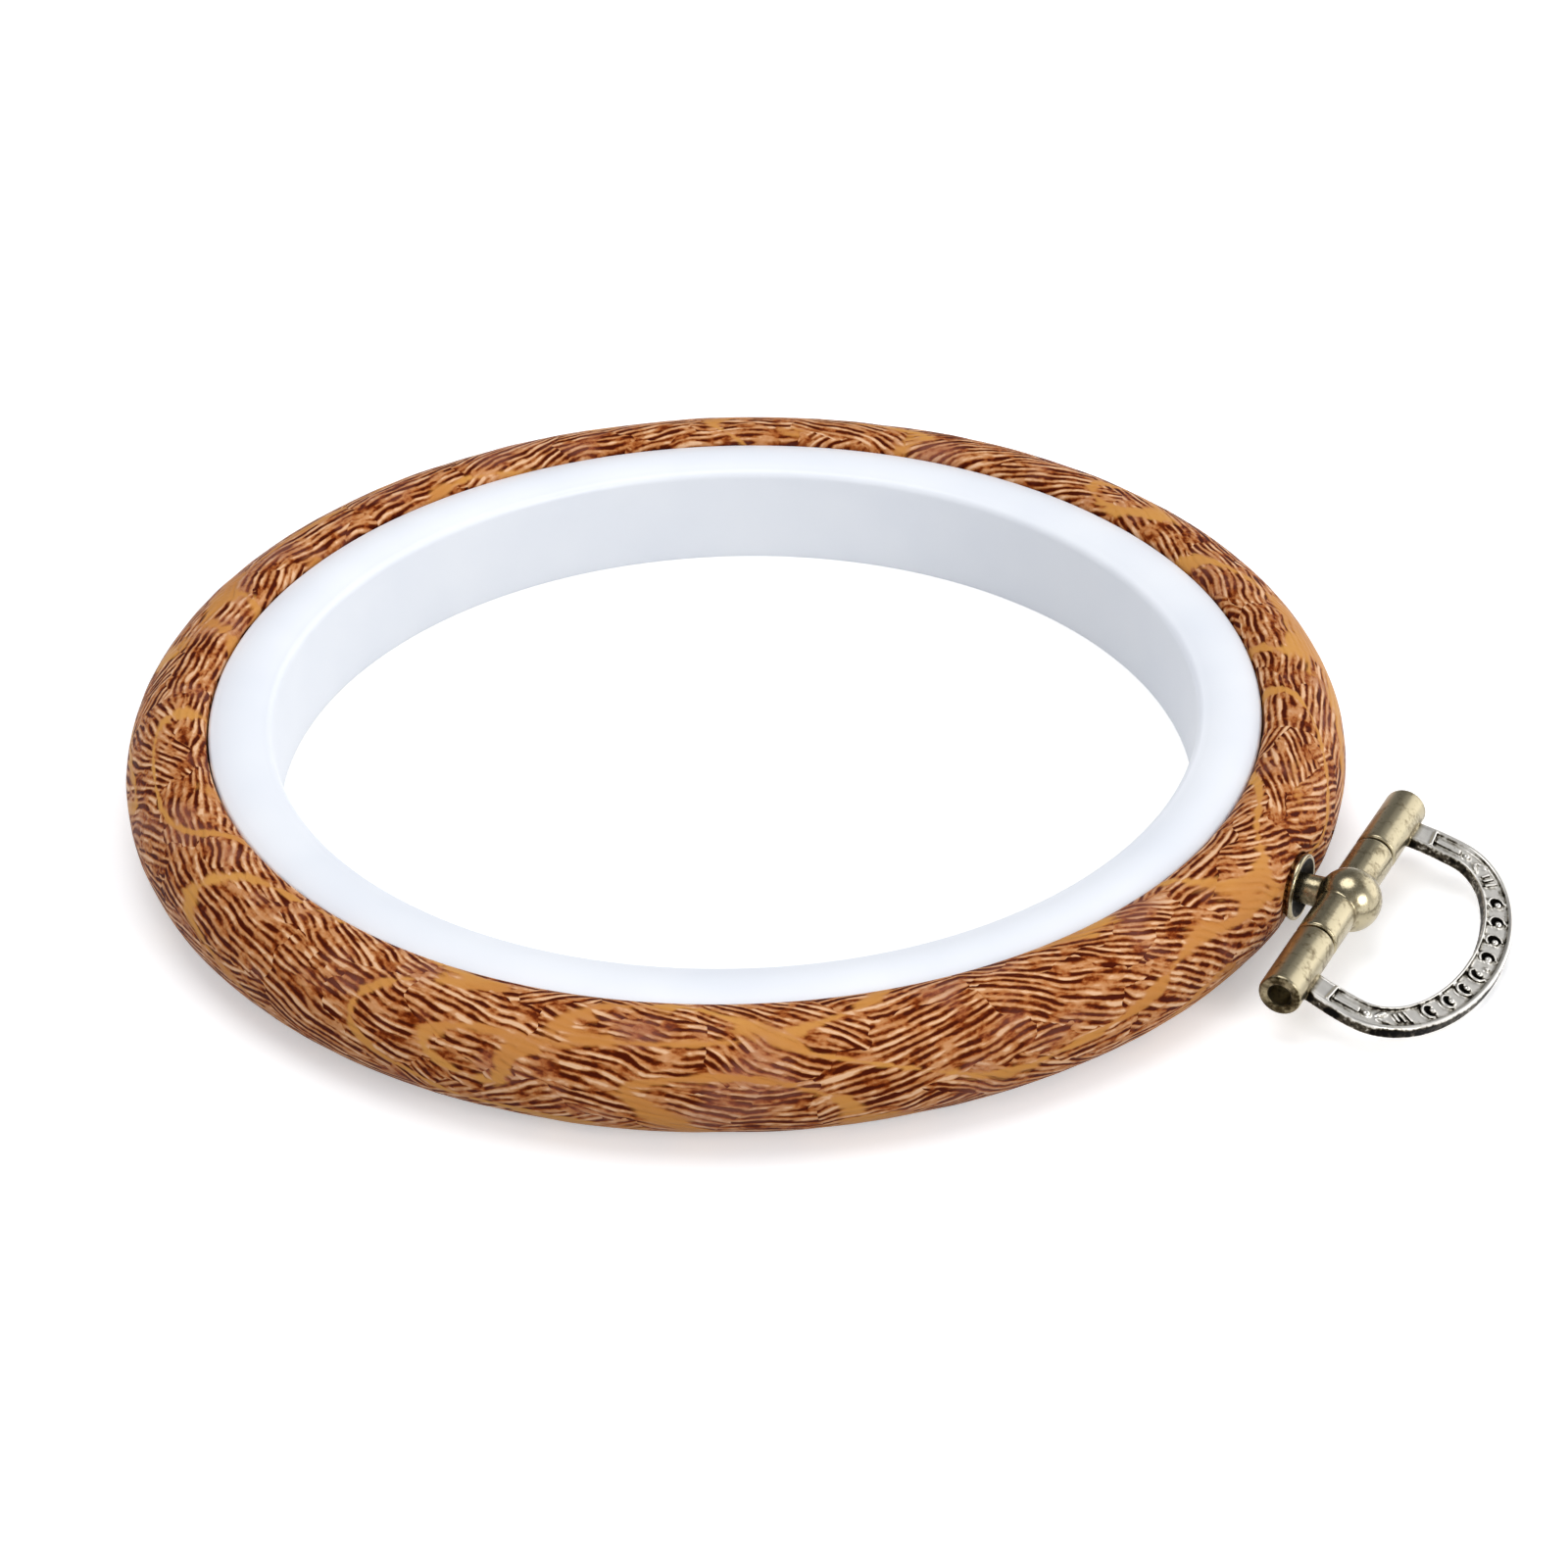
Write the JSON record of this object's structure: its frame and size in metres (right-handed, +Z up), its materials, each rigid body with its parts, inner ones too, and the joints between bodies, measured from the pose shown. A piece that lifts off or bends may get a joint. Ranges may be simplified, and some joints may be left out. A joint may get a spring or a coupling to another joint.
{
  "type": "embroidery hoop",
  "caption": "Round two-ring embroidery hoop: soft wood-look outer ring over a rigid white inner ring, with a hinged ornamented hanging loop.",
  "frame": {"origin": "on the hoop's axis, at the plane that both rings rest on (the foot of the inner ring's bore)", "axes": "+Z up along the hoop's axis, towards the face where cloth is shown; +X from the hoop's centre through the hanger's screw and ball; +Y along the hinge of the hanging loop"},
  "size_m": [0.1186, 0.1022, 0.01],
  "materials": {
    "white_plastic": "moulded white plastic, satin to gloss",
    "wood_look_vinyl": "soft vinyl moulded with raised wood grain, orange tan with dark red-brown streaks, satin",
    "antique_brass": "antique brass, dark in the recesses and rubbed bright on top",
    "aged_silver_brass": "cast, aged and rubbed: pale grey-gold on the raised ornament, near black in the recesses",
    "plain_steel": "plain steel"
  },
  "bodies": {
    "inner_ring": {"inner_ring": "white_plastic"},
    "outer_ring": {"outer_ring": "wood_look_vinyl", "collar": "antique_brass", "hanger_body": "antique_brass", "hanger_screw": "plain_steel", "screw_washer": "plain_steel"},
    "bail": {"bail": "aged_silver_brass", "hinge_pin": "plain_steel"}
  },
  "joints": [
    {"name": "outer_ring_release", "type": "slide", "parent": "inner_ring", "child": "outer_ring", "axis": [0, 0, 1], "range_m": [0, 0.012]},
    {"name": "bail_swing", "type": "hinge", "parent": "outer_ring", "child": "bail", "pos_m": [0.0544, 0, 0.0044], "axis": [0, -1, 0], "range_deg": [-115, 151]}
  ]
}
